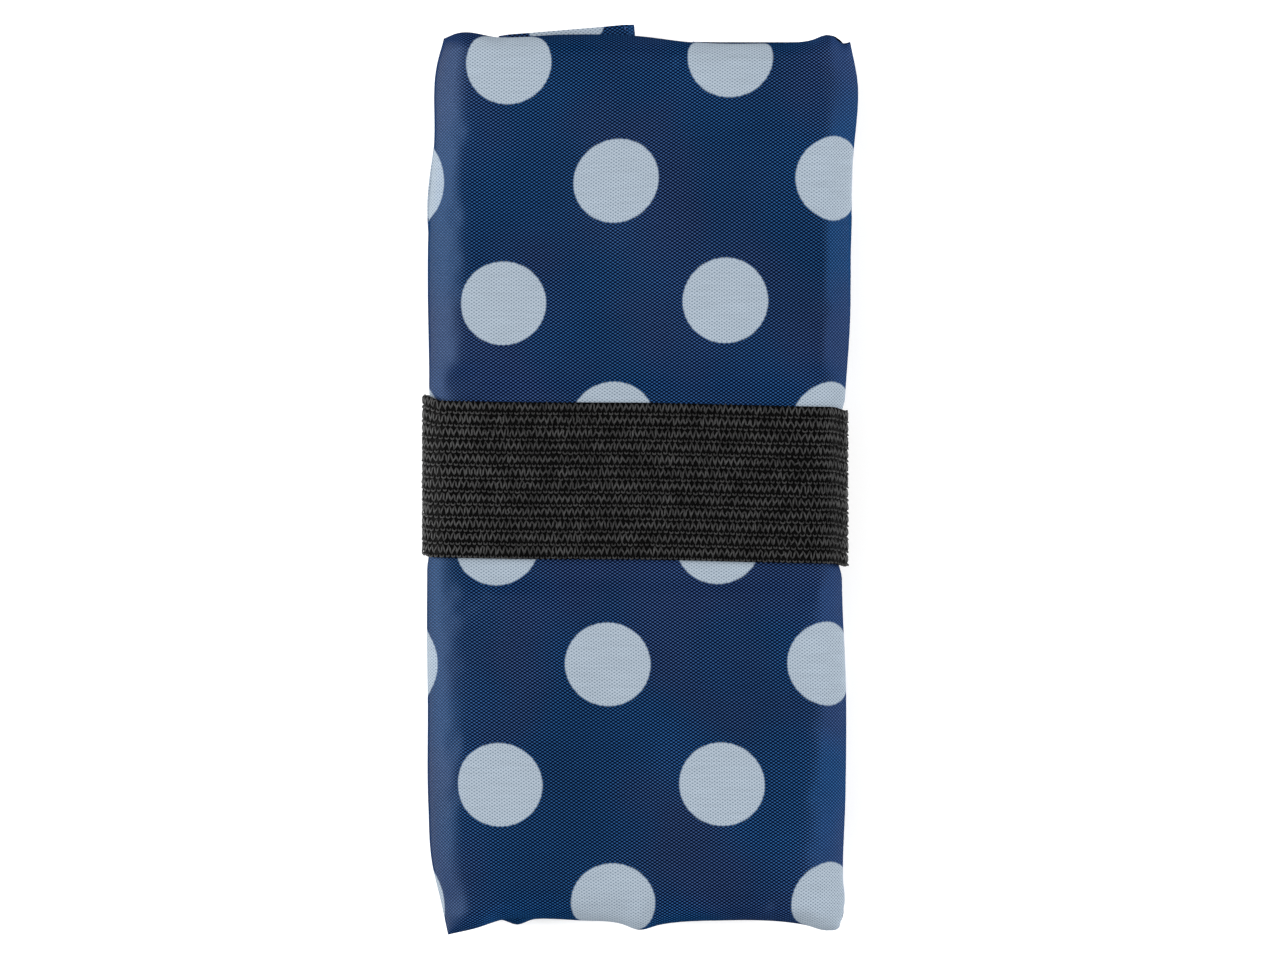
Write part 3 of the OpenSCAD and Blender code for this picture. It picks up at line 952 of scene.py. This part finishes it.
for side in SIDES:
    low, high = node_box(f"{side}_handle_tack_stitching")
    top = high[2] + 0.05
    corners = [(low[0], low[1]), (high[0], low[1]), (high[0], high[1]), (low[0], high[1])]
    lines = [*zip(corners, corners[1:] + corners[:1]), corners[::2], corners[1::2]]
    paths = [s for p, q in lines for s in stitch_path((*p, top), (*q, top), 1.7, 0.5)]
    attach(stitches(f"{side}_handle_box_stitches", paths, [f"{side}_handle_tack_stitching"]),
            "back_section")


# ------ the elastic band
BAND_T, BAND_W = 0.95, 25.0
BAND_LEFT, BAND_RIGHT = -35.1, 33.25  # the band sits a little to the left on the packet
BAND_R = 3.6  # radius of its turns
YARN_ROOM = 0.14  # mm left above and below it for the yarn
RIB_COUNT = 12
RIB_PITCH = BAND_W / RIB_COUNT
LOOP_PITCH = 0.885  # mm from one knitted stitch to the next
CROWD_AT, CROWD = 0.300, 0.028  # where and how widely they crowd, in shares of the way
# the shares of a zigzag stitch's points along it, and their mm across and out
ZIGZAG = np.array([(0.00, 0.72, -0.05), (0.20, 0.34, 0.03), (0.34, -0.14, 0.05), (0.50, -0.50, 0.00),
                   (0.66, -0.14, 0.05), (0.80, 0.34, 0.03)])


def band_point(s, out, w):
    """A point of the band: s the share of the way round, out the distance outside its middle
    surface, w the place across its width. The loop sits slightly askew, more so underneath."""
    mid_x, mid_z = (BAND_LEFT + BAND_RIGHT) / 2, (BAND_HIGH[2] + BAND_LOW[2]) / 2
    flat_x = BAND_RIGHT - BAND_LEFT - BAND_T - 2 * BAND_R
    flat_z = BAND_HIGH[2] - BAND_LOW[2] - BAND_T - 2 * YARN_ROOM - 2 * BAND_R
    turn = math.pi / 2 * BAND_R
    # from the middle of the underside: right along it, up the right side, left along the top, down
    runs = [flat_x / 2, turn, flat_z, turn, flat_x, turn, flat_z, turn, flat_x / 2]
    marks = np.cumsum([0] + runs)
    done = [np.clip(np.mod(s, 1.0) * marks[-1] - mark, 0, run) for mark, run in zip(marks, runs)]
    angle = (done[1] + done[3] + done[5] + done[7]) / BAND_R - math.pi / 2
    nx, nz = np.cos(angle), np.sin(angle)
    z = done[2] - done[6] - flat_z / 2 + BAND_R * nz
    px = mid_x + done[0] - done[4] + done[8] + (BAND_R + out) * nx
    pz = mid_z + z + out * nz
    upper = step(1.0, 6.3, z)
    skew = (-0.017 * upper - 0.038 * (1 - upper)) * px + 0.25 * (1 - upper)
    droop = -0.55 * step(30.5, 33.2, px) * upper
    ear = 0.8 * step(-31.8, -34.6, px) * step(5.0, 12.5, w) * upper
    py = w + skew + droop + ear + 0.10 * waves(s * 160, 0 * s, 91, 16, 60)
    return np.stack(np.broadcast_arrays(px, py, pz), -1)


LOOPS = int(round(path_length(band_point(np.linspace(0, 1, 2000), 0.0, 0.0))[-1] / LOOP_PITCH))


def crowded(s):
    """The knitted stitches crowd where the band turns down its right side."""
    away = s - CROWD_AT
    return s - 0.38 * away * np.exp(-(away / CROWD) ** 2)


def band_base():
    """The woven ground of the band: a closed strip with a groove between each two ribs."""
    around, per_rib = 420, 8
    w = np.linspace(-BAND_W / 2, BAND_W / 2, RIB_COUNT * per_rib + 1)
    crest = np.abs(np.sin(math.pi * (w + BAND_W / 2) / RIB_PITCH)) ** 0.6
    ring_out = np.append(BAND_T / 2 - 0.38 + 0.15 * crest, -BAND_T / 2 + 0 * w)
    s = np.linspace(0, 1, around, endpoint=False)
    points = band_point(*np.broadcast_arrays(s[:, None], ring_out, np.append(w, w[::-1])))
    index = np.arange(points[..., 0].size).reshape(around, -1)
    faces = ring_cells(index, closed=True).reshape(-1, 4)[:, ::-1]
    return make_mesh("elastic_band_ground", points, faces.tolist())


def band_zigzag():
    """The zigzag yarn of each rib, in and out along it round the whole band."""
    rng = np.random.default_rng(17)
    place, across, outward = np.tile(ZIGZAG.T, LOOPS)
    along = np.repeat(np.arange(LOOPS), len(ZIGZAG)) + place
    paths = []
    for k in range(RIB_COUNT):
        middle = (k - (RIB_COUNT - 1) / 2) * RIB_PITCH + 0.18
        reach = np.repeat(1 + 0.13 * rng.standard_normal(LOOPS), len(ZIGZAG))
        w = middle + reach * across + 0.07 * rng.standard_normal(len(along))
        lean = 0.06 * np.sin(along * 0.21 + k)
        out = BAND_T / 2 - 0.16 + outward + 0.025 * rng.standard_normal(len(along))
        s = (along + rng.uniform(0, 1) + lean + 0.085 * rng.standard_normal(len(along))) / LOOPS
        paths.append(band_point(crowded(s), out, w))
    points, faces = tube(paths, 0.135, 0.08, 19, closed=True)
    return make_mesh("elastic_band_zigzag_yarn", points, faces)


def band_loops():
    """The row of small knitted loops along each rib's lower side."""
    rng = np.random.default_rng(23)
    turn = np.linspace(math.pi * 0.95, math.pi * 2.05, 6)
    paths = []
    for k in range(RIB_COUNT):
        middle = (k - (RIB_COUNT - 1) / 2) * RIB_PITCH - 0.62
        first = rng.uniform(0, 1)
        for m in range(LOOPS):
            size = 0.27 + 0.03 * rng.standard_normal()
            s = crowded((m + first + size / LOOP_PITCH * np.cos(turn)) / LOOPS)
            w = middle + size * 1.05 * np.sin(turn) + 0.03 * rng.standard_normal()
            out = BAND_T / 2 - 0.13 + 0.10 * np.sin(turn - math.pi) + 0.02 * rng.standard_normal()
            paths.append(band_point(s, out, w))
    points, faces = tube(paths, 0.125, 0.05, 29)
    return make_mesh("elastic_band_loop_yarn", points, faces)


band_ground = dress(band_base(), ELASTIC_BASE)
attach(band_ground, "elastic_band")
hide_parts("elastic_band")
for yarn in (band_zigzag(), band_loops()):
    dress(yarn, ELASTIC_YARN)
    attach(yarn, "elastic_band")

join_z = BAND_LOW[2] + BAND_T + 0.06  # just inside the band, on its lower run
join_rows = [s for y in np.arange(-2, 3) * BAND_W / 6
             for s in stitch_path((-5, y, join_z), (3.5, y, join_z), 1.2, 0.3)]
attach(stitches("elastic_join_stitches", join_rows, ["elastic_join_stitching"], BLACK_THREAD,
                 0.09), "elastic_band")


# ------ floor, light and camera
paper = Nodes("floor_paper")
grain = paper.noise(paper.add("ShaderNodeTexCoord").outputs["Object"], 60.0, 3.0)
paper.finish(paper.mix(grain, (0.92,) * 3, (0.94,) * 3), 0.9,
             emission_color=(1.0, 1.0, 1.0, 1.0), emission_strength=0.24)
FLOOR_HALF, FLOOR_Z = 2000, -0.02
floor = make_mesh("floor", [(x * FLOOR_HALF, y * FLOOR_HALF, FLOOR_Z)
                            for x, y in ((-1, -1), (1, -1), (1, 1), (-1, 1))], [(0, 1, 2, 3)])
floor.data.materials.append(paper.material)

world = bpy.data.worlds.new("studio")
world.use_nodes = True
sky = world.node_tree.nodes["Background"].inputs
sky["Color"].default_value, sky["Strength"].default_value = (1.0, 1.0, 1.0, 1.0), 0.42
bpy.context.scene.world = world


def softbox(name, place, size, power):
    light = bpy.data.lights.new(name, "AREA")
    light.shape = "RECTANGLE"
    light.size, light.size_y = size
    light.energy = power
    put(name, light, place).rotation_euler = (-Vector(place)).to_track_quat("-Z", "Y").to_euler()


softbox("left_light", (-0.95, 0.12, 0.80), (0.6, 1.0), 20.5)
softbox("right_light", (1.10, 0.00, 0.62), (0.6, 1.0), 18.0)

VIEW_W = 203.5  # mm of the packet's top plane that the picture holds, across
LENS, SENSOR = 100.0, 36.0
camera_data = bpy.data.cameras.new("camera")
camera_data.lens = LENS
camera_data.sensor_width = SENSOR
eye = (-0.32 * MM, 0.40 * MM, (FRONT_HIGH[2] + VIEW_W * LENS / SENSOR) * MM)
bpy.context.scene.camera = put("camera", camera_data, eye)
bpy.context.scene.view_settings.view_transform = "Standard"
